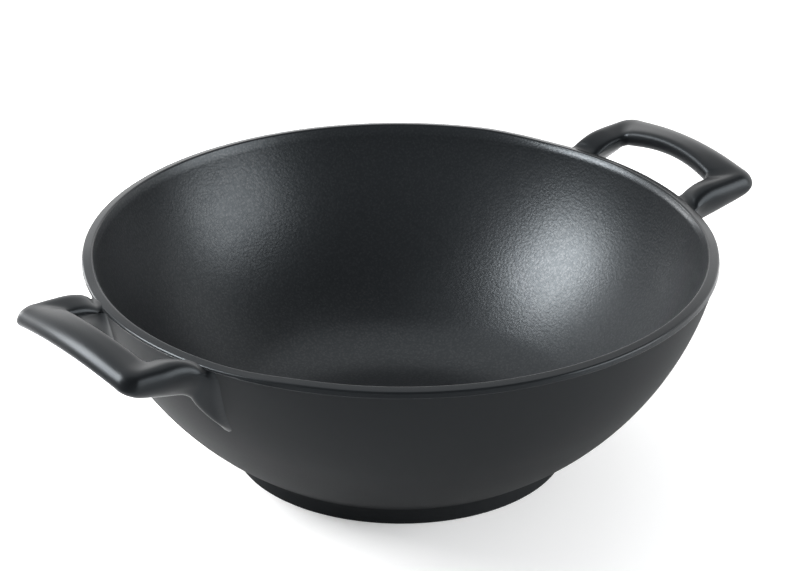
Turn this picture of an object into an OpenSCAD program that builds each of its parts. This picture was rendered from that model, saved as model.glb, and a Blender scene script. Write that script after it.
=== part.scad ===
// Round-bottomed cast wok with two loop handles, standing on its foot ring.
// Millimetres. Z is up, the origin is on the table under the middle of the bowl,
// and the handles lie along X.

/* [Bowl] */
// Outside diameter of the rim
rim_d = 300; // [240:1:380]
// Height of the rim's flat land above the table
rim_h = 105; // [85:1:140]
// Thickness of the cast wall
wall_t = 5; // [3:0.25:7]
// Thickness of the cast floor
floor_t = 5; // [3:0.25:9]
// How far the wall's outline bows out past a straight line from foot to rim
wall_bow = 12; // [6:0.5:18]
// Radius of the cove that joins floor and wall inside
floor_cove = 70; // [25:1:80]
// Thickness of the pebbled lining inside
lining_t = 0.5; // [0.3:0.1:1]

/* [Rim] */
// Height of the band round the rim
band_h = 3; // [2:0.25:6]
// How far the band stands proud of the wall below it
band_proud = 1; // [0.5:0.1:2.5]
// Rounding of the band's outer edges
band_edge = 1; // [0.4:0.1:1.4]
// Rounding of the land's inner edge
land_edge = 1.5; // [0.5:0.1:2.5]

/* [Foot] */
// Outside diameter of the foot ring
foot_d = 160; // [110:1:200]
// Width of the foot ring
foot_w = 13; // [8:0.5:24]
// Height of the foot ring's side
foot_h = 8; // [4:0.5:12]
// Depth of the recess inside the foot ring
foot_recess = 3; // [1.5:0.5:3.5]
// Rounding of the foot's bottom edges
foot_edge = 1; // [0.4:0.1:1.4]
// Radius of the cove where the foot runs out into the wall
foot_cove = 3; // [1:0.5:4]

/* [Handles] */
// How far each handle reaches out past the rim
reach = 37.5; // [30:0.5:60]
// Outside length of a handle loop
loop_l = 94; // [84:1:130]
// Outside length of the loop's two roots, where they meet the wall
root_l = 96.5; // [84:1:130]
// Radius of the loop's outer corners
loop_r = 9; // [7:0.5:24]
// Length of the finger hole
hole_l = 61; // [44:1:72]
// Radius of the finger hole's corners
hole_r = 7.5; // [2:0.5:9]
// Width of the grip
grip_w = 17.5; // [12:0.5:22]
// Thickness of the grip
grip_t = 10; // [8:0.5:16]
// Height of the grip's top above the rim
grip_rise = 9.75; // [6:0.5:16]
// How far the grip's top falls from the hole side to the outer side
grip_fall = 2.25; // [0.5:0.25:3]
// How far the outer side of the grip bows outward
grip_bow = 1.25; // [0.5:0.25:5]
// How far the hole's outer side bows outward
hole_bow = 1.75; // [0.25:0.25:4]
// How far the grip falls from its middle to its corners
grip_droop = 3; // [0.5:0.25:5]
// How much lower the loop's top lies at its outer corners than the grip's end
corner_fall = 0.5; // [0:0.25:4]
// Height of an arm's top above the rim, on the hole side
arm_rise = 1.5; // [0.5:0.5:5]
// How far an arm's top rises from the hole side to the outer side
arm_tilt = 3; // [0.5:0.25:4]
// Depth of an arm's outer side below the rim
arm_side = 4.5; // [2:0.5:8]
// Depth of an arm's hole side below the rim
arm_inside = 1.5; // [1:0.5:6]
// Depth of the keel under an arm beside the corner, below the rim
keel_corner = 8; // [6:0.5:12]
// Depth of the keel under an arm at the rim's edge, below the rim
keel_rim = 19; // [10:0.5:22]
// Depth of the gusset's foot on the wall, below the rim
gusset_h = 37.5; // [28:0.5:44]
// How far the gusset's free edge stands out from the rim's edge
gusset_run = 3; // [2:0.5:10]
// Rounding of a handle's upper edge on the hole side
round_in = 2.5; // [2:0.25:4.5]
// Rounding of a handle's upper edge on the outer side
round_out = 5.5; // [3:0.25:6.5]
// Rounding of a handle's lower edges
round_low = 4; // [2:0.25:4.5]

/* [Hidden] */
turn_steps = 180;      // facets of a full turn
arc_steps = 28;        // straight pieces along the wall's arc
cove_steps = 12;       // straight pieces along a cove or a rounded edge
overrun = 1;           // how far a cutting solid runs past what it cuts

rim_r = rim_d / 2;
foot_r = foot_d / 2;
floor_z = foot_recess + floor_t;
seat_r = foot_r - foot_w / 2;          // where the bowl's underside turns up to the foot's crease

// The wall's outer arc runs from the crease above the foot to the underside of the band.
low_p = [foot_r, foot_h];
top_p = [rim_r - band_proud, rim_h - band_h];
chord = norm(top_p - low_p);
wall_r = (chord * chord / 4 + wall_bow * wall_bow) / (2 * wall_bow);
chord_dir = (top_p - low_p) / chord;
wall_c = (low_p + top_p) / 2 + (wall_r - wall_bow) * [-chord_dir[1], chord_dir[0]];

// Radius of the outer surface at a height, and of a surface that lies inset inside it.
function wall_x(z, inset = 0) =
    wall_c[0] + sqrt(pow(wall_r - inset, 2) - pow(z - wall_c[1], 2));

// Points of an arc about a centre, from one angle to another.
function arc(centre, r, from, to, steps) =
    [for (i = [0 : steps]) let (a = from + (to - from) * i / steps)
        centre + r * [cos(a), sin(a)]];

function angle_of(v) = atan2(v[1], v[0]);

// Arc of the wall, lying inset inside its outer face, from the height low to the height high.
function wall_arc(low, high, inset = 0) =
    arc(wall_c, wall_r - inset,
        angle_of([wall_x(low, inset), low] - wall_c),
        angle_of([wall_x(high, inset), high] - wall_c), arc_steps);

// Inside profile, from the axis out over the floor and up the wall to the height high.
function inside_arc(floor_at, high, inset) =
    let (cove_z = floor_at + floor_cove,
         cove_c = [wall_c[0] + sqrt(pow(wall_r - inset - floor_cove, 2)
                                    - pow(cove_z - wall_c[1], 2)), cove_z],
         meet = angle_of(cove_c - wall_c))
    concat([[0, floor_at]],
           arc(cove_c, floor_cove, -90, meet, cove_steps),
           [for (i = [1 : arc_steps])
               let (a = meet + (angle_of([wall_x(high, inset), high] - wall_c) - meet) * i / arc_steps)
               wall_c + (wall_r - inset) * [cos(a), sin(a)]]);

function reversed(list) = [for (i = [len(list) - 1 : -1 : 0]) list[i]];

// Outside profile of the bowl without its band, from the axis to the top of the wall.
function outside_arc() =
    concat([[0, foot_recess], [seat_r, foot_recess]], wall_arc(foot_h, rim_h - band_h));

module turned(points) {
    rotate_extrude($fn = turn_steps) polygon(points);
}

// Cast bowl: wall and floor, up to the underside of the rim band.
module bowl() {
    color("#2b2e30")
        turned(concat(outside_arc(), reversed(inside_arc(floor_z, rim_h - band_h, wall_t))));
}

// Pebbled cooking surface that lines the bowl.
module lining() {
    color("#3a3e41")
        turned(concat(inside_arc(floor_z, rim_h - band_h, wall_t),
                      reversed(inside_arc(floor_z + lining_t, rim_h - band_h, wall_t + lining_t))));
}

// Band round the rim, proud of the wall, with a flat land on top and rounded edges.
module rim_band() {
    inset = wall_t + lining_t;
    low = rim_h - band_h;
    in_low = wall_x(low, inset);
    in_top = wall_x(rim_h - land_edge, inset);
    color("#34383a")
        turned(concat([[in_low, low], [rim_r - band_edge / 2, low], [rim_r, low + band_edge / 2]],
                      arc([rim_r - band_edge, rim_h - band_edge], band_edge, 0, 90, cove_steps),
                      arc([in_top + land_edge, rim_h - land_edge], land_edge, 90, 180, cove_steps)));
}

// Everything inside the bowl's outer face, which the foot and the handles seat against.
module bowl_envelope() {
    turned(concat(outside_arc(),
                  [[rim_r - band_edge / 2, rim_h - band_h], [rim_r, rim_h - band_h + band_edge / 2],
                   [rim_r, rim_h + grip_rise + overrun], [0, rim_h + grip_rise + overrun]]));
}

// Foot ring: flat underneath, coved into the wall outside.
module foot_ring() {
    slope = 90 + angle_of(low_p - wall_c);                 // the wall's slope at the crease
    cove_run = foot_cove * tan((90 - slope) / 2);          // from the crease to the cove's ends
    cove_c = [foot_r + foot_cove, foot_h - cove_run];
    in_r = foot_r - foot_w;
    color("#2f3335")
        difference() {
            turned(concat([[in_r, foot_recess], [in_r, foot_edge]],
                          arc([in_r + foot_edge, foot_edge], foot_edge, 180, 270, cove_steps),
                          arc([foot_r - foot_edge, foot_edge], foot_edge, -90, 0, cove_steps),
                          arc(cove_c, foot_cove, 180, 90 + slope, cove_steps),
                          [[foot_r, foot_h + foot_cove]]));
            bowl_envelope();
        }
}

// A handle is a loop lofted between two rails in plan:
// the edge of the finger hole and the outline of the loop.
arm_stations = 14;
corner_stations = 8;
grip_stations = 6;
round_steps = 4;       // straight pieces round each rounded edge of a section
keel_share = 0.62;     // place of the keel across an arm, from the hole side
blend = 10;            // length over which an arm's top leaves the rim's height
tiny = 0.001;          // keeps a straight corner from dividing by nothing

foot_reach = wall_x(rim_h - gusset_h);             // radius of the wall at the gussets' feet
root_x = sqrt(pow(foot_reach, 2) - pow(root_l / 2, 2)) - wall_t / 2;    // the arms start inside the wall

function smooth(t) = let (s = min(max(t, 0), 1)) s * s * (3 - 2 * s);
function mix(a, b, t) = a + (b - a) * t;

// Half a rail from the root to the middle of the grip, one point for each station.
function rail(outermost, half, corner, bow, root_half) =
    let (straight = half - corner,
         crown = (straight * straight + bow * bow) / (2 * bow),
         turn = asin(straight / crown),
         c = [outermost - bow - corner, straight])
    concat([for (i = [0 : arm_stations - 1]) let (t = i / arm_stations)
               [mix(root_x, c[0], t), mix(half, root_half, pow(1 - t, 2))]],
           arc(c, corner, 90, turn, corner_stations),
           [for (i = [1 : grip_stations]) let (a = turn * (1 - i / grip_stations))
               [outermost - crown * (1 - cos(a)), crown * sin(a)]]);

hole_rail = rail(rim_r + reach - grip_w, hole_l / 2, hole_r, hole_bow, hole_l / 2);
loop_rail = rail(rim_r + reach, loop_l / 2, loop_r, grip_bow, root_l / 2);

// Share of the way round the corner, and along the grip from the corner to its middle.
function corner_share(i) = smooth((i - arm_stations) / corner_stations);
function grip_share(i) = min(max((i - arm_stations - corner_stations) / grip_stations, 0), 1);

// Height below the rim of a lower edge at the place p: the gusset falls away to its foot on the wall.
function low_edge(p, depth) =
    let (foot = sqrt(pow(foot_reach, 2) - p[1] * p[1]),
         edge = sqrt(rim_r * rim_r - p[1] * p[1]) + gusset_run,
         t = min(max((p[0] - foot) / (edge - foot), 0), 1))
    -mix(gusset_h, depth, pow(t, 1.3));

// Section at a station, as points [distance across from the hole side, height above the rim].
function station_section(i) =
    let (hole = hole_rail[i], outer = loop_rail[i], w = norm(outer - hole),
         c = corner_share(i), g = grip_share(i),
         keel_at = mix(hole, outer, keel_share),
         edge = sqrt(rim_r * rim_r - keel_at[1] * keel_at[1]),
         leave = smooth((keel_at[0] - edge) / blend),
         along = min(max((keel_at[0] - edge) / (loop_rail[arm_stations][0] - edge), 0), 1),
         grip_top = grip_rise - grip_droop * pow(1 - g, 2),
         top_in = mix(leave * arm_rise, grip_top, c),
         top_out = mix(leave * (arm_rise + arm_tilt), grip_top - grip_fall, c)
                   - corner_fall * c * (1 - g),
         keel = mix(keel_rim, keel_corner, along),
         under = grip_top - grip_t,
         low_out = mix(low_edge(outer, arm_side), under, c),
         low_keel = mix(low_edge(keel_at, keel), under - grip_fall / 4, c),
         low_in = mix(low_edge(hole, arm_inside), under, c))
    rounded_outline([[0, top_in], [w, top_out], [w, low_out], [w * keel_share, low_keel], [0, low_in]],
                    [round_in, round_out, round_low, round_low, round_low]);

// Rounds the corner b between a and c, with less than the radius r where the sides are short.
function rounded(a, b, c, r) =
    let (u = (a - b) / norm(a - b), v = (c - b) / norm(c - b),
         half = acos(min(max(u * v, -1), 1)) / 2,
         run = min(r / tan(half), norm(a - b) * 0.45, norm(c - b) * 0.45),
         centre = b + (u + v) / max(norm(u + v), tiny) * run / max(cos(half), tiny),
         from = angle_of(b + u * run - centre),
         turn = ((angle_of(b + v * run - centre) - from + 540) % 360) - 180)
    [for (i = [0 : round_steps])
        norm(u + v) < tiny ? b + u * run * (1 - 2 * i / round_steps)
                    : let (s = from + turn * i / round_steps) centre + run * tan(half) * [cos(s), sin(s)]];

function rounded_outline(points, radii) =
    let (n = len(points))
    [for (i = [0 : n - 1])
        each rounded(points[(i + n - 1) % n], points[i], points[(i + 1) % n], radii[i])];

// Ring of 3-D points at station i, on the side of the loop where y has the sign of side.
function ring(i, side) =
    let (hole = hole_rail[i], outer = loop_rail[i], w = norm(outer - hole))
    [for (q = station_section(i))
        let (p = mix(hole, outer, q[0] / w)) [p[0], side * p[1], rim_h + q[1]]];

module handle_loop() {
    last = len(hole_rail) - 1;
    rings = concat([for (i = [0 : last]) ring(i, 1)], [for (i = [last - 1 : -1 : 0]) ring(i, -1)]);
    n = len(rings[0]);
    m = len(rings);
    polyhedron(
        points = [for (r = rings) each r],
        faces = concat(
            [[for (j = [0 : n - 1]) n - 1 - j]],
            [for (i = [0 : m - 2]) for (j = [0 : n - 1])
                each [[i * n + j, i * n + (j + 1) % n, (i + 1) * n + (j + 1) % n],
                      [i * n + j, (i + 1) * n + (j + 1) % n, (i + 1) * n + j]]],
            [[for (j = [0 : n - 1]) (m - 1) * n + j]]));
}

// Loop handle, trimmed where it meets the wall and the rim band.
module handle() {
    color("#303436")
        difference() {
            handle_loop();
            bowl_envelope();
        }
}

module right_handle() { handle(); }
module left_handle() { rotate([0, 0, 180]) handle(); }

bowl();
rim_band();
foot_ring();
lining();
right_handle();
left_handle();
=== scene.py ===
"""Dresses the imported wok: cast walls, rim, foot and loop handles in satin black enamel, in a plain studio.

Sizes are the source's own, in millimetres, and meshes are made in metres in the row's frame.
"""

import logging
import math
from dataclasses import dataclass, field
from enum import Enum

import bpy
import numpy as np
from mathutils import Matrix, Vector

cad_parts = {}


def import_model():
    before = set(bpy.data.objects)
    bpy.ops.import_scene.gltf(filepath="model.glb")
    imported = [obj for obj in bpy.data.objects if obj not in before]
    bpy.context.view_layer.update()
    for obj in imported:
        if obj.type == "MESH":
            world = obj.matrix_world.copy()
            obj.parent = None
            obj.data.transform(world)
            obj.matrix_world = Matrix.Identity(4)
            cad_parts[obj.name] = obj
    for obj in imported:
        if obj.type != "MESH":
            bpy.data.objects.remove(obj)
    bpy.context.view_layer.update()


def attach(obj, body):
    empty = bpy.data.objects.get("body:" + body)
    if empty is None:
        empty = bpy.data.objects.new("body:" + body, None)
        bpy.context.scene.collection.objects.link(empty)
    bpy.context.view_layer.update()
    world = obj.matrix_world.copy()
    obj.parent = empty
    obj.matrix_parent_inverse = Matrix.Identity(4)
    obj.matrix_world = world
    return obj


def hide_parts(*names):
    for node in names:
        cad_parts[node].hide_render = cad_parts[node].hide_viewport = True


log = logging.getLogger("wok")

MM = 0.001
TURN = 384  # facets of a full turn
SAME = 1e-4  # points nearer than this, in mm, are one
ON_AXIS = 1e-6  # a radius below this, in mm, is the axis
SHARP = 48.0  # degrees between faces from which an edge is sharp
AREA_WEIGHT = 60  # how much a face's size counts in its corners' normals
COOL = (0.84, 0.93, 1.0, 1.0)  # the tint of the enamel's shine
WHITE = (1.0, 1.0, 1.0, 1.0)


class Side(Enum):
    """The end of the wok that a handle stands at."""

    RIGHT = 1
    LEFT = -1


class Slot(Enum):
    """The material slots."""

    OUTER = "outer_enamel"
    RIM = "rim_enamel"
    LINING = "lining_enamel"
    HANDLE = "handle_enamel"


# Shader maths


class Signal:
    """A number that varies over a surface: a socket with the operators of plain arithmetic."""

    def __init__(self, socket: bpy.types.NodeSocket) -> None:
        """Keeps the socket.

        Args:
            socket: the output that carries the number.
        """
        self.socket = socket

    def _maths(self, operation: str, *values: "Signal | float") -> "Signal":
        """Adds one Math node.

        Args:
            operation: the node's operation.
            values: its inputs in order, signals or numbers.

        Returns:
            The node's result.
        """
        tree = self.socket.id_data
        node = tree.nodes.new("ShaderNodeMath")
        node.operation = operation
        for slot, value in zip(node.inputs, values):
            if isinstance(value, Signal):
                tree.links.new(value.socket, slot)
            else:
                slot.default_value = value
        return Signal(node.outputs[0])

    def __add__(self, other: "Signal | float") -> "Signal":
        """Sum."""
        return self._maths("ADD", self, other)

    def __sub__(self, other: "Signal | float") -> "Signal":
        """Difference."""
        return self._maths("SUBTRACT", self, other)

    def __rsub__(self, other: float) -> "Signal":
        """Difference from a number."""
        return self._maths("SUBTRACT", other, self)

    def __mul__(self, other: "Signal | float") -> "Signal":
        """Product."""
        return self._maths("MULTIPLY", self, other)

    __radd__ = __add__
    __rmul__ = __mul__

    def held(self, low: float = 0.0, high: float = 1.0) -> "Signal":
        """Limits the number to a range.

        Args:
            low: the least value.
            high: the greatest value.

        Returns:
            The limited signal.
        """
        return self._maths("MINIMUM", self._maths("MAXIMUM", self, low), high)


class Recipe:
    """A material under construction, with one Principled shader."""

    def __init__(self, name: str) -> None:
        """Makes the empty material.

        Args:
            name: the material's name.
        """
        self.material = bpy.data.materials.new(name)
        self.material.use_nodes = True
        self.tree = self.material.node_tree
        self.shader = self.tree.nodes["Principled BSDF"]
        self.place = self.node("ShaderNodeTexCoord").outputs["Object"]

    def node(self, kind: str, settings: dict | None = None, **inputs: object) -> bpy.types.Node:
        """Adds any node.

        Args:
            kind: the node's type.
            settings: its properties by name; "stops" gives a ramp's positions and colours.
            inputs: values, sockets or signals by socket name, with underscores for spaces.

        Returns:
            The new node.
        """
        node = self.tree.nodes.new(kind)
        for name, value in (settings or {}).items():
            if name == "stops":
                for i, (at, colour) in enumerate(value):
                    stop = node.color_ramp.elements[i] if i < 2 else node.color_ramp.elements.new(at)
                    stop.position, stop.color = at, (*colour, 1.0)
            else:
                setattr(node, name, value)
        for name, value in inputs.items():
            self.feed(node, name.replace("_", " "), value)
        return node

    def feed(self, node: bpy.types.Node, name: str, value: object) -> None:
        """Links or sets one input.

        Args:
            node: the node that takes it.
            name: the socket's name.
            value: a signal, a socket or a plain value.
        """
        slot = next(s for s in node.inputs if s.name == name and s.enabled)
        if isinstance(value, Signal):
            self.tree.links.new(value.socket, slot)
        elif isinstance(value, bpy.types.NodeSocket):
            self.tree.links.new(value, slot)
        else:
            slot.default_value = value

    def noise(self, per_metre: float, detail: float = 2.0, roughness: float = 0.5) -> Signal:
        """Soft random field in the piece's own space.

        Args:
            per_metre: how many features fit in a metre.
            detail: octaves.
            roughness: the strength of each finer octave.

        Returns:
            The field, about 0 to 1.
        """
        made = self.node("ShaderNodeTexNoise", Vector=self.place, Scale=per_metre, Detail=detail,
                         Roughness=roughness)
        return Signal(made.outputs["Factor" if "Factor" in made.outputs else "Fac"])

    def cells(self, per_metre: float, smoothness: float = 0.6) -> Signal:
        """Rounded pebbles with valleys between them.

        Args:
            per_metre: how many pebbles fit in a metre.
            smoothness: how softly one runs into the next.

        Returns:
            Distance from each pebble's middle.
        """
        made = self.node("ShaderNodeTexVoronoi", {"feature": "SMOOTH_F1"}, Vector=self.place,
                         Scale=per_metre, Smoothness=smoothness)
        return Signal(made.outputs["Distance"])

    def mixed(self, dark: tuple, light: tuple, share: Signal) -> bpy.types.NodeSocket:
        """Mixes two colours.

        Args:
            dark: colour at 0.
            light: colour at 1.
            share: how much of the second.

        Returns:
            The colour's socket.
        """
        made = self.node("ShaderNodeMix", {"data_type": "RGBA"})
        self.tree.links.new(share.socket, made.inputs[0])
        made.inputs[6].default_value = (*dark, 1.0)
        made.inputs[7].default_value = (*light, 1.0)
        return made.outputs[2]

    def bumped(self, height: Signal, depth: float, strength: float = 1.0) -> None:
        """Feeds the shader's normal from a height.

        Args:
            height: the height, about 0 to 1.
            depth: what a height of 1 stands for, in metres.
            strength: how far the bump shows.
        """
        made = self.node("ShaderNodeBump", Height=height, Distance=depth, Strength=strength)
        self.feed(self.shader, "Normal", made.outputs["Normal"])


@dataclass(frozen=True)
class SatinEnamel:
    """Smooth satin black enamel over cast iron, with the slow waves of a casting.

    The wave and the orange peel are heights in metres; waves, peel and specks are numbers to the metre.
    """

    name: str
    dark: tuple[float, float, float] = (0.0028, 0.0033, 0.0039)
    light: tuple[float, float, float] = (0.0056, 0.0062, 0.0069)
    roughness: float = 0.3
    shine: float = 0.16
    spread: float = 0.08
    speckle: float = 0.06
    wave: float = 0.00005
    orange_peel: float = 0.000006
    # how much rougher the enamel turns low on the wall; times the next field, how far its colour there is
    # darkened as painted shade
    rougher_and_shaded_low: float = 0.0
    painted_shade_low: float = 3.0
    low_h: float = 0.05
    waves: float = 22.0
    peel: float = 420.0
    specks: float = 1500.0
    limits: tuple[float, float] = (0.12, 0.8)

    def material(self) -> bpy.types.Material:
        """Builds the material.

        Returns:
            The material.
        """
        made = Recipe(self.name)
        slow = made.noise(self.waves, detail=3.0)
        fine = made.noise(self.peel, detail=2.0)
        specks = made.noise(self.specks, detail=1.0)
        height = Signal(made.node("ShaderNodeSeparateXYZ", Vector=made.place).outputs["Z"])
        # 1 at the bottom, fading out by low_h up the wall: the enamel is rougher there, and its darker
        # colour there is painted shade
        low = (1.0 - height * (1.0 / self.low_h)).held()
        share = slow * 0.7 + fine * 0.3 - low * self.rougher_and_shaded_low * self.painted_shade_low
        rough = (self.roughness + low * self.rougher_and_shaded_low + (slow - 0.5) * self.spread
                 + (specks - 0.5) * self.speckle)
        made.feed(made.shader, "Base Color", made.mixed(self.dark, self.light, share.held()))
        made.feed(made.shader, "Roughness", rough.held(*self.limits))
        made.feed(made.shader, "Specular IOR Level", self.shine)
        made.feed(made.shader, "Specular Tint", COOL)
        made.bumped(slow + fine * (self.orange_peel / self.wave), self.wave)
        return made.material


@dataclass(frozen=True)
class PebbledEnamel:
    """Black enamel on the cooking surface, with a fine pebbled grain whose tops glint.

    A pebble's height is in metres; pebbles, grain, waves and blotches are numbers to the metre.
    """

    name: str
    dark: tuple[float, float, float] = (0.0040, 0.0046, 0.0053)
    light: tuple[float, float, float] = (0.0076, 0.0083, 0.0091)
    roughness: float = 0.34
    shine: float = 0.285
    pebble_h: float = 0.000085
    relief: float = 0.8
    glint: float = 0.24
    glint_roughness: float = 0.3
    glint_from: float = 0.6
    glint_gain: float = 1.6
    glint_grain: float = 2.4
    pebbles: float = 760.0
    grain: float = 1300.0
    waves: float = 16.0
    blotches: float = 150.0
    limits: tuple[float, float] = (0.15, 0.8)

    def material(self) -> bpy.types.Material:
        """Builds the material.

        Returns:
            The material.
        """
        made = Recipe(self.name)
        pebbles = made.cells(self.pebbles)
        finer = made.noise(self.grain, detail=2.0)
        slow = made.noise(self.waves, detail=3.0)
        blotch = made.noise(self.blotches, detail=3.0, roughness=0.6)
        share = slow * 0.45 + blotch * 0.35 + finer * 0.2
        rough = self.roughness + (slow - 0.5) * 0.08 + (blotch - 0.5) * 0.06 + (finer - 0.5) * 0.05
        tops = (self.glint_from - pebbles) * self.glint_gain + (finer - 0.5) * self.glint_grain
        made.feed(made.shader, "Base Color", made.mixed(self.dark, self.light, share.held()))
        made.feed(made.shader, "Roughness", rough.held(*self.limits))
        made.feed(made.shader, "Coat Weight", tops.held() * self.glint)
        made.feed(made.shader, "Specular IOR Level", self.shine)
        made.feed(made.shader, "Specular Tint", COOL)
        made.feed(made.shader, "Coat Roughness", self.glint_roughness)
        made.bumped((1.0 - pebbles) * 0.7 + finer * 0.3 + blotch * 0.4, self.pebble_h, self.relief)
        return made.material


# Profiles and meshes, in millimetres


def arc(centre: tuple[float, float], r: float, start: float, end: float, steps: int) -> np.ndarray:
    """Points of an arc.

    Args:
        centre: its centre.
        r: its radius.
        start: first angle in degrees.
        end: last angle in degrees.
        steps: how many pieces.

    Returns:
        An array of points.
    """
    a = np.radians(np.linspace(start, end, steps + 1))
    return np.stack([centre[0] + r * np.cos(a), centre[1] + r * np.sin(a)], -1)


def line(start: tuple[float, float], end: tuple[float, float], steps: int) -> np.ndarray:
    """Points of a straight line.

    Args:
        start: first point.
        end: last point.
        steps: how many pieces.

    Returns:
        An array of points.
    """
    return np.linspace(start, end, steps + 1)


def joined(*parts: np.ndarray) -> np.ndarray:
    """Joins runs of points and drops doubled ones.

    Args:
        parts: arrays of points in order.

    Returns:
        One array.
    """
    points = np.concatenate([np.atleast_2d(np.asarray(p, float)) for p in parts])
    keep = np.ones(len(points), bool)
    keep[1:] = np.linalg.norm(np.diff(points, axis=0), axis=1) > SAME
    return points[keep]


def smooth(t: np.ndarray | float) -> np.ndarray | float:
    """Eases from 0 to 1.

    Args:
        t: share of the way.

    Returns:
        The eased share.
    """
    s = np.clip(t, 0.0, 1.0)
    return s * s * (3.0 - 2.0 * s)


def facets(steps: int = TURN) -> np.ndarray:
    """Azimuths of a full turn's facets.

    Args:
        steps: how many facets.

    Returns:
        The azimuths in radians.
    """
    return np.linspace(0.0, 2.0 * math.pi, steps, endpoint=False)


def piece(name: str, points: np.ndarray, faces: list, slot: Slot, material: bpy.types.Material,
          node: str) -> bpy.types.Object:
    """Makes an object that stands for a node of the frame.

    Args:
        name: the object's name.
        points: its vertices in millimetres.
        faces: its faces as index lists.
        slot: the material slot; not used.
        material: its material.
        node: the node that it replaces.

    Returns:
        The object.
    """
    mesh = bpy.data.meshes.new(name)
    mesh.from_pydata((points * MM).tolist(), [], faces)
    mesh.validate()
    mesh.materials.append(material)
    mesh.shade_smooth()
    mesh.set_sharp_from_angle(angle=math.radians(SHARP))
    obj = bpy.data.objects.new(name, mesh)
    bpy.context.scene.collection.objects.link(obj)
    weighted = obj.modifiers.new("weighted normals", "WEIGHTED_NORMAL")
    weighted.weight = AREA_WEIGHT
    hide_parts(node)
    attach(obj, "root")
    log.info("%s: %d points, %d faces, stands for %s", name, len(mesh.vertices), len(mesh.polygons), node)
    return obj


def turned(profile: np.ndarray, steps: int = TURN) -> tuple[np.ndarray, list]:
    """Turns a closed profile about the Z axis.

    Args:
        profile: points of radius and height round the solid's section, or one such section for each facet.
        steps: facets of the full turn.

    Returns:
        Vertices and faces.
    """
    sections = np.broadcast_to(profile, (steps, *profile.shape[-2:]))
    a = facets(steps)
    on_axis = sections[0, :, 0] < ON_AXIS
    points, rows = [], []
    for k, centre in enumerate(on_axis):
        start = len(points)
        r, z = sections[:, k, 0], sections[:, k, 1]
        if centre:
            points.append((0.0, 0.0, float(z[0])))
            rows.append([start] * steps)
        else:
            points.extend(zip(r * np.cos(a), r * np.sin(a), z))
            rows.append(list(range(start, start + steps)))
    faces = []
    for low, high, low_axis, high_axis in zip(rows, rows[1:] + rows[:1], on_axis, np.roll(on_axis, -1)):
        if low_axis and high_axis:
            continue
        for k in range(steps):
            n = (k + 1) % steps
            if low_axis:
                faces.append((low[0], high[n], high[k]))
            elif high_axis:
                faces.append((low[k], low[n], high[0]))
            else:
                faces.append((low[k], low[n], high[n], high[k]))
    return np.array(points), faces


@dataclass(frozen=True)
class Form:
    """The sizes that the pieces share, as in the part's source."""

    rim_r: float = 150.0
    rim_h: float = 105.0
    wall_t: float = 5.0
    floor_t: float = 5.0
    wall_bow: float = 12.0
    floor_cove: float = 70.0
    lining_t: float = 0.5
    band_h: float = 3.0
    band_proud: float = 1.0
    foot_r: float = 80.0
    foot_h: float = 8.0
    foot_w: float = 13.0
    foot_recess: float = 3.0
    floor_steps: int = 10
    cove_steps: int = 48
    wall_steps: int = 64

    @property
    def arc_r(self) -> float:
        """Radius of the wall's outer arc."""
        chord = math.dist(self.low, self.top)
        return (chord * chord / 4 + self.wall_bow**2) / (2 * self.wall_bow)

    @property
    def low(self) -> tuple[float, float]:
        """Where the wall's arc starts above the foot."""
        return self.foot_r, self.foot_h

    @property
    def top(self) -> tuple[float, float]:
        """Where the wall's arc ends under the rim."""
        return self.rim_r - self.band_proud, self.rim_h - self.band_h

    @property
    def centre(self) -> tuple[float, float]:
        """Centre of the wall's arc.

        Returns:
            Its distance from the axis and its height.
        """
        chord = math.dist(self.low, self.top)
        along = ((self.top[0] - self.low[0]) / chord, (self.top[1] - self.low[1]) / chord)
        back = self.arc_r - self.wall_bow
        return ((self.low[0] + self.top[0]) / 2 - back * along[1],
                (self.low[1] + self.top[1]) / 2 + back * along[0])

    def wall(self, z: np.ndarray | float, inset: float = 0.0) -> np.ndarray | float:
        """Radius of the wall at a height.

        Args:
            z: the height.
            inset: how far inside the outer face.

        Returns:
            The radius.
        """
        reach = np.maximum((self.arc_r - inset) ** 2 - (np.asarray(z, float) - self.centre[1]) ** 2, 0.0)
        return self.centre[0] + np.sqrt(reach)

    def wall_run(self, low: float, high: float, inset: float, steps: int) -> np.ndarray:
        """Points up the wall between two heights.

        Args:
            low: the lower height.
            high: the upper height.
            inset: how far inside the outer face.
            steps: how many pieces.

        Returns:
            An array of points.
        """
        cx, cz = self.centre
        angles = [math.degrees(math.atan2(z - cz, float(self.wall(z, inset)) - cx)) for z in (low, high)]
        return arc(self.centre, self.arc_r - inset, *angles, steps)

    def inside_run(self, inset: float, floor: float, high: float) -> np.ndarray:
        """Points over the floor and up the inside of the wall.

        Args:
            inset: how far inside the outer face.
            floor: the floor's height.
            high: where the run ends.

        Returns:
            An array of points from the axis out and up.
        """
        cx, cz = self.centre
        cove = self.floor_cove - (inset - self.wall_t)
        cove_z = floor + cove
        cove_x = cx + math.sqrt((self.arc_r - inset - cove) ** 2 - (cove_z - cz) ** 2)
        meet = math.degrees(math.atan2(cove_z - cz, cove_x - cx))
        end = math.degrees(math.atan2(high - cz, float(self.wall(high, inset)) - cx))
        return joined(line((0.0, floor), (cove_x, floor), self.floor_steps),
                      arc((cove_x, cove_z), cove, -90, meet, self.cove_steps),
                      arc(self.centre, self.arc_r - inset, meet, end, self.wall_steps))


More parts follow.
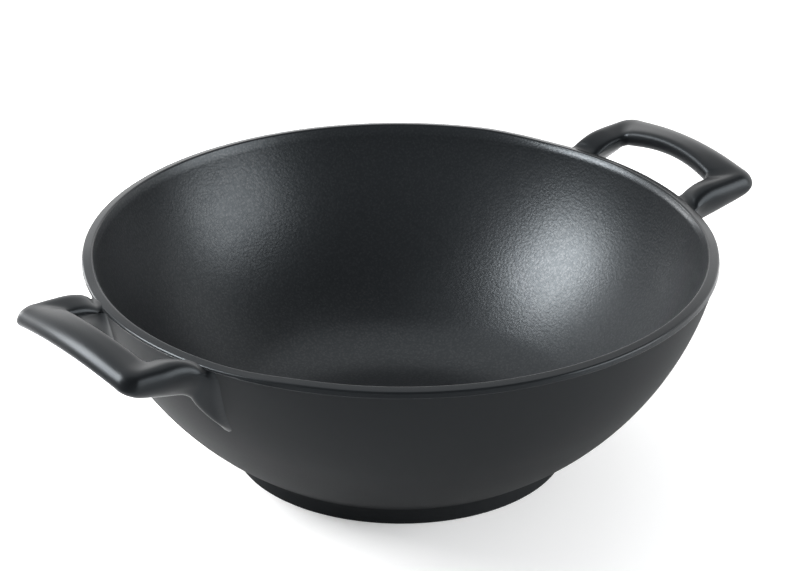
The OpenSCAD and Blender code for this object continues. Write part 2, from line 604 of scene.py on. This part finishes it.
@dataclass
class Rim:
    """The band round the rim: a land with a rounded shoulder that dips a little at the handles."""

    form: Form = field(default_factory=Form)
    crest_r: float = 145.5
    crest_rise: float = 0.75
    inner_round: float = 1.0
    lip_angle: float = 160.0
    edge: float = 148.7
    fall: float = 0.62
    fall_curve: float = 1.2
    dip: float = 1.6
    dip_at: float = 28.0
    ease: float = 9.0
    edge_round: float = 1.26
    lean: float = 88.0
    low_round: float = 0.45
    inner_gap: float = 0.12
    outer_gap: float = 0.02
    inner_steps: int = 12
    land_steps: int = 14
    edge_steps: int = 10
    low_steps: int = 8

    def dip_there(self, turn: np.ndarray | float) -> np.ndarray | float:
        """How far the whole land dips; it lies lowest along each handle.

        Args:
            turn: the azimuth in radians.

        Returns:
            The dip.
        """
        away = np.degrees(np.arctan2(np.abs(np.sin(turn)), np.abs(np.cos(turn))))
        return self.dip * (1.0 - smooth((away - self.dip_at + self.ease) / (2.0 * self.ease)))

    def top(self, r: np.ndarray, turn: np.ndarray | float) -> np.ndarray:
        """Height of the rim's land.

        Args:
            r: the radius, up to the edge.
            turn: the azimuth in radians.

        Returns:
            The height.
        """
        share = np.clip((r - self.crest_r) / (self.edge - self.crest_r), 0.0, 1.0)
        return self.form.rim_h + self.crest_rise - self.dip_there(turn) - self.fall * share**self.fall_curve

    def lip(self, turn: float) -> np.ndarray:
        """Where the inner face ends and the inner rounding begins.

        Args:
            turn: the azimuth in radians.

        Returns:
            The radius and height.
        """
        start = math.radians(self.lip_angle)
        return np.array([self.crest_r + self.inner_round * math.cos(start),
                         self.form.rim_h + self.crest_rise + self.inner_round * (math.sin(start) - 1.0)
                         - float(self.dip_there(turn))])

    def build(self, finish: bpy.types.Material) -> bpy.types.Object:
        """Builds the band.

        Args:
            finish: its material.

        Returns:
            The object.
        """
        f = self.form
        low, out = f.rim_h - f.band_h, f.rim_r - self.outer_gap
        in_low = float(f.wall(low, f.wall_t + f.lining_t)) + self.inner_gap
        crest = (self.crest_r, f.rim_h + self.crest_rise - self.inner_round)
        inner = arc(crest, self.inner_round, self.lip_angle, 90, self.inner_steps)[:-1]
        low_in = np.array([[in_low, low]])
        land_r = np.linspace(self.crest_r, self.edge, self.land_steps)
        foot = arc((out - self.low_round, low + self.low_round), self.low_round, -90, 90 - self.lean,
                   self.low_steps)
        sections = []
        for turn in facets():
            land = np.stack([land_r, self.top(land_r, turn)], -1)
            slope = math.degrees(math.atan2(*(land[-1] - land[-2])[::-1]))
            middle = land[-1] + self.edge_round * np.array([math.sin(math.radians(slope)),
                                                            -math.cos(math.radians(slope))])
            edge = arc(tuple(middle), self.edge_round, 90 + slope, 90 - self.lean, self.edge_steps)[1:]
            sunk = inner[::-1] - (0.0, float(self.dip_there(turn)))
            sections.append(np.concatenate([foot, edge[::-1], land[::-1], sunk, low_in]))
        return piece("rim", *turned(np.array(sections)), Slot.RIM, finish, "rim_band")


@dataclass
class Bowl:
    """The cast wall and floor, and the pebbled layer inside them."""

    form: Form = field(default_factory=Form)
    rim: Rim = field(default_factory=Rim)
    cove: float = 0.5
    skin: float = 0.1
    band_lap: float = 0.8
    foot_lap: float = 6.5
    under_r: float = 40.0
    wall_steps: int = 96

    def wall_piece(self, finish: bpy.types.Material) -> bpy.types.Object:
        """Builds the casting's wall, with a small cove under the rim's band.

        Args:
            finish: its material.

        Returns:
            The object.
        """
        f = self.form
        top = f.rim_h - f.band_h
        out = f.wall_run(f.foot_h, top - self.cove, 0.0, self.wall_steps)
        at = out[-1]
        under = arc((at[0] + self.cove, at[1]), self.cove, 180, 90, steps=6)
        inner = f.inside_run(f.wall_t, f.foot_recess + f.floor_t, top)[::-1]
        below = line((self.under_r, f.foot_recess), (f.foot_r - self.foot_lap, f.foot_recess), steps=4)
        section = joined([0.0, f.foot_recess], below, out, under, [f.rim_r - self.band_lap, top], inner)
        return piece("bowl_wall", *turned(section), Slot.OUTER, finish, "bowl")

    def cooking_surface(self, finish: bpy.types.Material) -> bpy.types.Object:
        """Builds the pebbled layer of the inside; its grain runs on up the rim's inner face.

        Args:
            finish: its material.

        Returns:
            The object.
        """
        f = self.form
        floor = f.foot_recess + f.floor_t
        top = f.rim_h - f.band_h
        low = f.inside_run(f.wall_t, floor, top)
        high = f.inside_run(f.wall_t + f.lining_t, floor + f.lining_t, top)[::-1]
        skin = (self.skin, 0.0)
        lips = (self.rim.lip(turn) for turn in facets())
        sections = [joined(low, lip + skin, lip - skin, high) for lip in lips]
        return piece("cooking_surface", *turned(np.array(sections)), Slot.LINING, finish, "lining")


@dataclass
class Foot:
    """The ring that the wok stands on, coved into the wall."""

    form: Form = field(default_factory=Form)
    edge: float = 1.2
    cove: float = 4.0
    into_wall: float = 1.5
    in_top: float = 0.4
    root_in: float = 6.0
    root_up: float = 2.0

    def build(self, finish: bpy.types.Material) -> bpy.types.Object:
        """Builds the ring.

        Args:
            finish: its material.

        Returns:
            The object.
        """
        f = self.form
        in_r = f.foot_r - f.foot_w
        cx, cz = f.centre
        run = f.foot_r + self.cove - cx
        cove_z = cz - math.sqrt((f.arc_r + self.cove) ** 2 - run**2)
        meet = math.degrees(math.atan2(cz - cove_z, cx - (f.foot_r + self.cove)))
        cove = arc((f.foot_r + self.cove, cove_z), self.cove, 180, meet, steps=12)
        end = cove[-1]
        inward = np.array([cx - end[0], cz - end[1]]) / math.dist((cx, cz), end)
        section = joined([in_r, f.foot_recess + self.in_top], [in_r, self.edge],
                         arc((in_r + self.edge, self.edge), self.edge, 180, 270, steps=6),
                         line((in_r + self.edge, 0.0), (f.foot_r - self.edge, 0.0), steps=4),
                         arc((f.foot_r - self.edge, self.edge), self.edge, -90, 0, steps=8),
                         line((f.foot_r, self.edge), (f.foot_r, float(cove_z)), steps=3),
                         cove, end + inward * self.into_wall,
                         [f.foot_r - self.root_in, f.foot_recess + self.root_up])
        return piece("foot", *turned(section), Slot.OUTER, finish, "foot_ring")


@dataclass
class LoopHandle:
    """A cast loop handle: two arms with keels and gussets, and a thick grip that stands above the rim.

    Its section has five corners: top inside, top outside, low outside, keel and low inside. Each is rounded
    over a length, or over a share of the side beside it where that is shorter. A run is the length over
    which a form eases away, and steps are stations along the loft or points round it.
    """

    side: Side
    form: Form = field(default_factory=Form)
    rim: Rim = field(default_factory=Rim)
    reach: float = 37.48
    loop_l: float = 93.6
    root_l: float = 96.7
    loop_r: float = 7.2
    hole_l: float = 62.4
    hole_r: float = 3.4
    grip_w: float = 18.2
    grip_t: float = 9.05
    grip_rise: float = 9.34
    grip_fall: float = -0.2
    grip_bow: float = 1.45
    hole_bow: float = 2.5
    grip_droop: float = 3.4
    arm_rise: float = 2.4
    arm_tilt: float = 3.9
    arm_side: float = 5.8
    arm_inside: float = 3.4
    keel_corner: float = 7.4
    keel_rim: float = 19.4
    gusset_h: float = 40.5
    gusset_side: float = 19.3
    gusset_run: float = 3.8
    gusset_curve: float = 1.3
    keel_share: float = 0.62
    blend: float = 10.0
    round_in: float = 3.0
    round_low: float = 3.8
    roll_arm: float = 7.2
    roll_grip: float = 9.0
    side_share: float = 0.7
    roll_share: float = 0.62
    both_share: float = 0.96
    soft_share: float = 0.3
    round_share: float = 0.45
    clear: float = 2.0
    even: float = 3.5
    even_run: float = 8.0
    fillet: float = 2.6
    fillet_run: float = 3.0
    fillet_below: float = 1.0
    least_side: float = 0.35
    rim_run: float = 17.0
    rim_soft: float = 3.0
    rim_depth: float = 4.0
    root_depth: float = 0.45
    root_limit: float = 146.0
    below_land: float = 0.012
    past_edge: float = 0.1
    near_steps: int = 44
    arm_steps: int = 84
    corner_steps: int = 34
    grip_steps: int = 26
    bend_steps: float = 24.0
    round_steps: int = 8
    flat_steps: int = 5

    @property
    def wall_foot(self) -> float:
        """Radius of the wall at the gussets' feet."""
        return float(self.form.wall(self.form.rim_h - self.gusset_h))

    def rail(self, outermost: float, half: float, corner: float, bow: float,
             root_half: float) -> np.ndarray:
        """Half a rail in plan, from the root to the middle of the grip.

        The first stations follow the rim's circle, so that the handle's rings meet the rim along its line.

        Args:
            outermost: how far out it reaches.
            half: half of its length across.
            corner: the radius of its corner.
            bow: how far its outer side bows.
            root_half: half of its length at the wall.

        Returns:
            One point for each station.
        """
        straight = half - corner
        crown = (straight**2 + bow**2) / (2 * bow)
        turn = math.asin(straight / crown)
        cx = outermost - bow - corner
        root_r = self.wall_foot - self.form.wall_t / 2
        root_x = math.sqrt(self.wall_foot**2 - (self.root_l / 2) ** 2) - self.form.wall_t / 2

        def half_at(x: np.ndarray) -> np.ndarray:
            """Half of the length across, which spreads towards the root."""
            return half + (root_half - half) * (1.0 - np.clip((x - root_x) / (cx - root_x), 0.0, 1.0)) ** 2

        r = np.linspace(root_r, self.form.rim_r + self.clear, self.near_steps)
        x = np.sqrt(r**2 - half**2)
        for _ in range(4):
            x = np.sqrt(r**2 - half_at(x) ** 2)
        x = np.concatenate([x, np.linspace(x[-1], cx, self.arm_steps - self.near_steps + 2)[1:-1]])
        a = turn * (1.0 - np.arange(1, self.grip_steps + 1) / self.grip_steps)
        return np.concatenate([
            np.stack([x, half_at(x)], -1),
            arc((cx, straight), corner, 90.0, math.degrees(turn), self.corner_steps),
            np.stack([outermost - crown * (1.0 - np.cos(a)), crown * np.sin(a)], -1)])

    def low_edge(self, p: np.ndarray, depth: np.ndarray | float, at_wall: float) -> np.ndarray:
        """Height of a lower edge: the gusset falls away to its foot on the wall.

        Args:
            p: the edge's places in plan.
            depth: how deep it lies clear of the gusset.
            at_wall: how deep it lies at the wall.

        Returns:
            The heights, below the rim.
        """
        foot = np.sqrt(self.wall_foot**2 - p[:, 1] ** 2)
        edge = np.sqrt(self.form.rim_r**2 - p[:, 1] ** 2) + self.gusset_run
        t = np.clip((p[:, 0] - foot) / (edge - foot), 0.0, 1.0) ** self.gusset_curve
        return -(at_wall + (depth - at_wall) * t)

    def corners(self, hole: np.ndarray, outer: np.ndarray) -> np.ndarray:
        """The section's corners and the width of its outer roll at every station.

        Args:
            hole: the hole's rail.
            outer: the outline's rail.

        Returns:
            Heights at the top inside, top outside, low outside, keel and low inside, and the roll.
        """
        i = np.arange(len(hole))
        to_grip = smooth((i - self.arm_steps) / self.corner_steps)
        g = np.clip((i - self.arm_steps - self.corner_steps) / self.grip_steps, 0.0, 1.0)
        rim_r = self.form.rim_r
        keel_at = hole + (outer - hole) * self.keel_share
        edge = np.sqrt(rim_r**2 - keel_at[:, 1] ** 2)
        along = np.clip((keel_at[:, 0] - edge) / (outer[self.arm_steps, 0] - edge), 0.0, 1.0)
        leave_in, leave_out = (smooth((np.linalg.norm(p, axis=1) - rim_r) / self.blend)
                               for p in (hole, outer))
        top = self.grip_rise - self.grip_droop * (1.0 - g) ** 2
        under = top - self.grip_t
        keel = self.keel_rim + (self.keel_corner - self.keel_rim) * along
        pairs = ((leave_in * self.arm_rise, top),
                 (leave_out * (self.arm_rise + self.arm_tilt), top - self.grip_fall),
                 (self.low_edge(outer, self.arm_side, self.gusset_side), under),
                 (self.low_edge(keel_at, keel, self.gusset_h), under - self.grip_fall / 4),
                 (self.low_edge(hole, self.arm_inside, self.gusset_side), under),
                 (self.roll_arm, self.roll_grip))
        values = np.stack([arm + (grip - arm) * to_grip for arm, grip in pairs], -1)
        middle = (hole + outer) / 2
        run = np.concatenate([[0.0], np.cumsum(np.linalg.norm(np.diff(middle, axis=0), axis=1))])
        whole = np.concatenate([run, 2 * run[-1] - run[:-1][::-1]])
        weight = np.exp(-0.5 * ((run[:, None] - whole[None]) / self.even) ** 2) * np.gradient(whole)[None]
        evened = weight @ np.concatenate([values, values[:-1][::-1]]) / weight.sum(1, keepdims=True)
        clear = smooth((np.linalg.norm(outer, axis=1) - rim_r) / self.even_run)[:, None]
        return values + (evened - values) * clear

    def rounded(self, corners: np.ndarray, before: np.ndarray, after: np.ndarray) -> np.ndarray:
        """Rounds the corners of every section and fills the straight sides with points.

        Args:
            corners: stations by corners by 2.
            before: how far before each corner its round starts.
            after: how far after each corner its round ends.

        Returns:
            Stations by points by 2.
        """
        back, ahead = np.roll(corners, 1, 1) - corners, np.roll(corners, -1, 1) - corners
        start = corners + back / np.linalg.norm(back, axis=2, keepdims=True) * before[..., None]
        stop = corners + ahead / np.linalg.norm(ahead, axis=2, keepdims=True) * after[..., None]
        t = np.linspace(0.0, 1.0, self.round_steps + 1)[None, None, :, None]
        a, b, c = start[:, :, None], stop[:, :, None], corners[:, :, None]
        pull = 0.5523  # a cubic's handle for a quarter circle
        a_out, b_out = a + (c - a) * pull, b + (c - b) * pull
        curve = (1 - t) ** 3 * a + 3 * (1 - t) ** 2 * t * a_out + 3 * (1 - t) * t**2 * b_out + t**3 * b
        s = (np.arange(1, self.flat_steps + 1) / (self.flat_steps + 1))[None, None, :, None]
        side = b * (1 - s) + np.roll(a, -1, 1) * s
        return np.concatenate([curve, side], 2).reshape(len(corners), -1, 2)

    def rings(self) -> np.ndarray:
        """The loft's rings from one root, round the grip, to the other.

        Returns:
            An array of stations by points by 3.
        """
        outermost = self.form.rim_r + self.reach
        hole = self.rail(outermost - self.grip_w, self.hole_l / 2, self.hole_r, self.hole_bow,
                         self.hole_l / 2)
        outer = self.rail(outermost, self.loop_l / 2, self.loop_r, self.grip_bow, self.root_l / 2)
        values = self.corners(hole, outer)
        w = np.linalg.norm(outer - hole, axis=1)
        across = np.stack([w * share for share in (0.0, 1.0, 1.0, self.keel_share, 0.0)], -1)
        corners = np.stack([across, values[:, :5]], -1)
        back = np.linalg.norm(np.roll(corners, 1, 1) - corners, axis=2)
        ahead = np.linalg.norm(np.roll(corners, -1, 1) - corners, axis=2)
        roll, low, soft, share = values[:, 5], self.round_low, self.round_in, self.round_share
        rounds_back = ((soft, share), (roll, self.roll_share), (low, self.both_share - self.side_share),
                       (low, share), (low, share))
        rounds_on = ((soft, self.soft_share), (roll, self.side_share), (low, share), (low, share),
                     (soft, share))
        before, after = (np.stack([np.minimum(size, side[:, k] * part)
                                   for k, (size, part) in enumerate(rounds)], -1)
                         for side, rounds in ((back, rounds_back), (ahead, rounds_on)))
        q = self.rounded(corners, before, after)
        plan = hole[:, None] + (outer - hole)[:, None] * (q[..., :1] / w[:, None, None])
        half = np.concatenate([plan, q[..., 1:] + self.form.rim_h], -1)
        near = 1.0 - smooth((np.arange(len(half)) - self.near_steps) / self.bend_steps)
        r = np.linalg.norm(half[..., :2], axis=2)
        ring_r = np.linalg.norm(hole, axis=1)[:, None]
        half[..., :2] *= (1.0 + near[:, None] * (ring_r / r - 1.0))[..., None]
        return np.concatenate([half, half[:-1][::-1] * np.array([1.0, -1.0, 1.0])])

    def softened(self, rings: np.ndarray, rounds: int = 6) -> np.ndarray:
        """Evens the grid, so that its ridges read as cast edges.

        Args:
            rings: the loft's rings.
            rounds: how often.

        Returns:
            The smoothed rings.
        """
        for _ in range(rounds):
            around = rings * 0.5 + (np.roll(rings, 1, 1) + np.roll(rings, -1, 1)) * 0.25
            inner = around[1:-1] * 0.5 + (around[:-2] + around[2:]) * 0.25
            rings = np.concatenate([around[:1], inner, around[-1:]])
        return rings

    def flared(self, rings: np.ndarray) -> np.ndarray:
        """Spreads the arms where they near the wall, which makes a fillet there.

        Args:
            rings: the loft's rings.

        Returns:
            The rings with their fillets.
        """
        along = np.gradient(rings, axis=0)
        around = np.roll(rings, -1, 1) - np.roll(rings, 1, 1)
        normal = np.cross(around, along)
        normal /= np.maximum(np.linalg.norm(normal, axis=2, keepdims=True), 1e-9)
        middle = rings.mean(1, keepdims=True)
        normal *= np.sign(((rings - middle) * normal).sum(2).mean())
        r = np.linalg.norm(rings[..., :2], axis=2)
        cx, cz = self.form.centre
        offset = np.stack([r - cx, rings[..., 2] - cz], -1)
        distance = np.linalg.norm(offset, axis=2)
        gap = distance - self.form.arc_r
        unit = offset / distance[..., None]
        radial = rings[..., :2] / r[..., None]
        out = np.concatenate([radial * unit[..., :1], unit[..., 1:]], -1)
        sideways = normal - (normal * out).sum(2, keepdims=True) * out
        sideways /= np.maximum(np.linalg.norm(sideways, axis=2, keepdims=True), self.least_side)
        rise = np.clip(self.fillet - gap, 0.0, self.fillet)
        spread = self.fillet - np.sqrt(np.maximum(self.fillet**2 - rise**2, 0.0))
        low = smooth((self.form.rim_h - self.fillet_below - rings[..., 2]) / self.fillet_run)
        return rings + sideways * (spread * low)[..., None]

    def seated(self, rings: np.ndarray) -> np.ndarray:
        """Settles the roots inside the wall and lays the arms' tops into the rim's land.

        Args:
            rings: the loft's rings.

        Returns:
            The settled rings.
        """
        f = self.form
        r = np.linalg.norm(rings[..., :2], axis=2)
        turn = np.arctan2(rings[..., 1], rings[..., 0])
        z = rings[..., 2]
        upper = smooth((z - (f.rim_h - self.rim_depth)) / self.rim_soft)
        near_rim = 1.0 - smooth((r - self.rim.edge) / self.rim_run)
        z = z + (self.rim.crest_rise - self.rim.fall - self.rim.dip_there(turn)) * upper * near_rim
        in_wall = f.wall(np.minimum(z, f.rim_h - f.band_h), f.wall_t * self.root_depth)
        keep_r = np.maximum(r, np.minimum(in_wall, self.root_limit))
        lid = self.rim.top(keep_r, turn) - self.below_land
        z = np.where((keep_r < self.rim.edge + self.past_edge) & (z > lid), lid, z)
        return np.concatenate([rings[..., :2] * (keep_r / r)[..., None], z[..., None]], -1)

    def build(self, finish: bpy.types.Material) -> bpy.types.Object:
        """Builds the handle.

        Args:
            finish: its material.

        Returns:
            The object.
        """
        rings = self.seated(self.flared(self.softened(self.rings())))[:, ::-1]
        rings = rings * np.array([self.side.value, self.side.value, 1.0])
        m, n = rings.shape[:2]
        faces = [(i * n + j, i * n + (j + 1) % n, (i + 1) * n + (j + 1) % n, (i + 1) * n + j)
                 for i in range(m - 1) for j in range(n)]
        faces += [tuple(range(n))[::-1], tuple((m - 1) * n + j for j in range(n))]
        end = self.side.name.lower()
        return piece(f"{end}_loop", rings.reshape(-1, 3), faces, Slot.HANDLE, finish, f"{end}_handle")


# Studio


@dataclass(frozen=True)
class Viewpoint:
    """The photograph's camera in the row's frame, in metres."""

    place: tuple[float, float, float] = (-0.88693, -1.14756, 0.78234)
    right: tuple[float, float, float] = (0.792359, -0.610045, 0.00353)
    up: tuple[float, float, float] = (0.262013, 0.34553, 0.901087)
    back: tuple[float, float, float] = (-0.550923, -0.713059, 0.433624)
    lens: float = 153.0
    sensor: float = 36.0
    clip: tuple[float, float] = (0.05, 60.0)

    def build(self) -> None:
        """Makes the camera and looks through it."""
        data = bpy.data.cameras.new("camera")
        data.lens = self.lens
        data.sensor_width = self.sensor
        data.clip_start, data.clip_end = self.clip
        data.dof.use_dof = False
        obj = bpy.data.objects.new("camera", data)
        bpy.context.scene.collection.objects.link(obj)
        turn = Matrix((self.right, self.up, self.back)).transposed().to_4x4()
        obj.matrix_world = Matrix.Translation(self.place) @ turn
        bpy.context.scene.camera = obj

    def towards(self, azimuth: float, elevation: float) -> Vector:
        """A direction told from the camera's heading.

        Args:
            azimuth: degrees to the right of straight ahead.
            elevation: degrees above level.

        Returns:
            The direction in the row's frame.
        """
        ahead = Vector((-self.back[0], -self.back[1], 0.0)).normalized()
        right = Vector((ahead.y, -ahead.x, 0.0))
        a, e = math.radians(azimuth), math.radians(elevation)
        return (ahead * math.cos(a) + right * math.sin(a)) * math.cos(e) + Vector((0.0, 0.0, math.sin(e)))


@dataclass(frozen=True)
class Softbox:
    """A rectangular soft light; its aim is told ahead of the camera, to its right and up."""

    name: str
    aim: tuple[float, float, float]
    azimuth: float
    elevation: float
    distance: float
    width: float
    height: float
    radiance: float

    def build(self, view: Viewpoint) -> None:
        """Makes the light.

        Args:
            view: the camera that its angles are told from.
        """
        data = bpy.data.lights.new(self.name, "AREA")
        data.shape = "RECTANGLE"
        data.size, data.size_y = self.width, self.height
        data.energy = self.radiance * math.pi * self.width * self.height
        obj = bpy.data.objects.new(self.name, data)
        bpy.context.scene.collection.objects.link(obj)
        obj.visible_camera = False
        target = view.towards(0.0, 0.0) * self.aim[0] + view.towards(90.0, 0.0) * self.aim[1]
        out = view.towards(self.azimuth, self.elevation)
        obj.location = target + Vector((0.0, 0.0, self.aim[2])) + out * self.distance
        obj.rotation_euler = out.to_track_quat("Z", "Y").to_euler()
        log.info("%s: %.1f W", self.name, data.energy)


@dataclass
class Studio:
    """Plain pale floor, a bright sweep far behind, four softboxes and a pale air."""

    view: Viewpoint = field(default_factory=Viewpoint)
    air: tuple[float, float] = (0.6, 0.24)
    air_band: tuple[float, float] = (0.3, 0.75)
    air_colour: tuple[float, float, float, float] = (0.94, 0.97, 1.0, 1.0)
    floor_r: float = 7.0
    floor_z: float = -0.0002
    floor_grey: float = 0.86
    floor_glow: float = 0.3
    floor_rough: float = 0.9
    floor_shine: float = 0.1
    floor_steps: int = 96
    sweep_r: float = 4.2
    sweep_half: float = 78.0
    sweep_top: float = 50.0
    sweep_glow: float = 2.1
    sweep_steps: tuple[int, int] = (49, 26)
    sweep_fade: tuple[tuple[float, float], ...] = ((0.0, 1.0), (1.0, 0.14), (0.42, 0.95), (0.75, 0.4))
    boxes: tuple[Softbox, ...] = (
        Softbox("key softbox", (0.06, 0.08, 0.05), -95.0, 33.5, 0.85, 0.37, 0.39, 32.0),
        Softbox("fill softbox", (0.0, -0.06, 0.06), 103.0, 14.5, 1.25, 0.8, 0.62, 10.2),
        Softbox("back softbox", (0.0, 0.0, 0.1), -49.0, 7.0, 1.5, 0.4, 0.3, 13.0),
        Softbox("overhead softbox", (0.0, 0.0, 0.0), 0.0, 69.0, 1.6, 1.8, 1.2, 1.35),
    )

    def stand(self, name: str, points: list, faces: list, material: bpy.types.Material) -> None:
        """Makes a part of the studio, which isn't part of the wok.

        Args:
            name: the object's name.
            points: its vertices in metres.
            faces: its faces as index lists.
            material: its material.
        """
        mesh = bpy.data.meshes.new(name)
        mesh.from_pydata(points, [], faces)
        mesh.materials.append(material)
        obj = bpy.data.objects.new(name, mesh)
        bpy.context.scene.collection.objects.link(obj)

    def floor(self) -> None:
        """Makes the floor, a matt pale disc that glows a little."""
        n = self.floor_steps
        a = facets(n)
        x, y = self.floor_r * np.cos(a), self.floor_r * np.sin(a)
        points = np.stack([x, y, np.full(n, self.floor_z)], -1)
        made = Recipe("pale floor")
        made.feed(made.shader, "Base Color", (*(self.floor_grey,) * 3, 1.0))
        made.feed(made.shader, "Roughness", self.floor_rough)
        made.feed(made.shader, "Specular IOR Level", self.floor_shine)
        made.feed(made.shader, "Emission Color", WHITE)
        made.feed(made.shader, "Emission Strength", self.floor_glow)
        self.stand("floor", points.tolist(), [tuple(range(n))], made.material)

    def sweep(self) -> None:
        """Makes the bright sweep behind the wok, brightest near the floor."""
        azimuths = np.linspace(-self.sweep_half, self.sweep_half, self.sweep_steps[0])
        rises = np.linspace(0.0, self.sweep_top, self.sweep_steps[1])
        points = []
        for rise in rises:
            for azimuth in azimuths:
                out = self.view.towards(float(azimuth), 0.0) * self.sweep_r
                points.append((out.x, out.y, self.sweep_r * math.tan(math.radians(float(rise)))))
        n = len(azimuths)
        faces = [(i * n + k, i * n + k + 1, (i + 1) * n + k + 1, (i + 1) * n + k)
                 for i in range(len(rises) - 1) for k in range(n - 1)]
        made = Recipe("bright sweep")
        height = made.node("ShaderNodeSeparateXYZ", Vector=made.place).outputs["Z"]
        top = self.sweep_r * math.tan(math.radians(self.sweep_top))
        share = (Signal(height) * (1.0 / top)).held()
        stops = [(at, (grey, grey, grey)) for at, grey in self.sweep_fade]
        glow = made.node("ShaderNodeValToRGB", {"stops": stops}, Fac=share)
        made.feed(made.shader, "Base Color", (0.0, 0.0, 0.0, 1.0))
        made.feed(made.shader, "Emission Color", glow.outputs["Color"])
        made.feed(made.shader, "Emission Strength", self.sweep_glow)
        self.stand("sweep", points, faces, made.material)

    def build(self) -> None:
        """Sets the camera, the air, the floor, the sweep and the lights."""
        self.view.build()
        world = bpy.data.worlds.new("studio air")
        world.use_nodes = True
        tree = world.node_tree
        split = tree.nodes.new("ShaderNodeSeparateXYZ")
        tree.links.new(tree.nodes.new("ShaderNodeTexCoord").outputs["Generated"], split.inputs[0])
        fade = tree.nodes.new("ShaderNodeMapRange")
        for name, value in zip(("From Min", "From Max", "To Min", "To Max"), (*self.air_band, *self.air)):
            fade.inputs[name].default_value = value
        tree.links.new(split.outputs["Z"], fade.inputs["Value"])
        tree.links.new(fade.outputs["Result"], tree.nodes["Background"].inputs["Strength"])
        tree.nodes["Background"].inputs["Color"].default_value = self.air_colour
        bpy.context.scene.world = world
        bpy.context.scene.view_settings.view_transform = "Standard"
        self.floor()
        self.sweep()
        for box in self.boxes:
            box.build(self.view)


@dataclass
class Wok:
    """The whole wok, piece by piece."""

    form: Form = field(default_factory=Form)

    def build(self) -> None:
        """Builds and dresses every piece."""
        # the outer enamel turns rougher near the foot, and its colour darker there as painted shade
        outer = SatinEnamel("outer enamel", (0.0078, 0.0084, 0.009), (0.0104, 0.0111, 0.0117),
                            roughness=0.58, shine=0.09, rougher_and_shaded_low=0.16).material()
        land = SatinEnamel("rim enamel", (0.006, 0.0067, 0.0074), (0.0098, 0.0106, 0.0114),
                           roughness=0.23, wave=0.00002).material()
        grip = SatinEnamel("handle enamel", roughness=0.33, wave=0.00002).material()
        inside = PebbledEnamel("pebbled enamel").material()
        rim = Rim(self.form)
        rim.build(land)
        bowl = Bowl(self.form, rim)
        bowl.wall_piece(outer)
        bowl.cooking_surface(inside)
        Foot(self.form).build(outer)
        for side in Side:
            LoopHandle(side, self.form, rim).build(grip)


def corners(box: tuple) -> list[list[float]]:
    """A box as plain numbers.

    Args:
        box: its lowest and highest corners.

    Returns:
        The corners as lists.
    """
    return [[float(x) for x in corner] for corner in box]


def main() -> None:
    """Loads the frame, builds the studio and the wok."""
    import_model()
    Studio().build()
    Wok().build()
    bpy.context.view_layer.update()


if __name__ == "__main__":
    logging.basicConfig(level=logging.INFO, format="%(message)s")
    main()
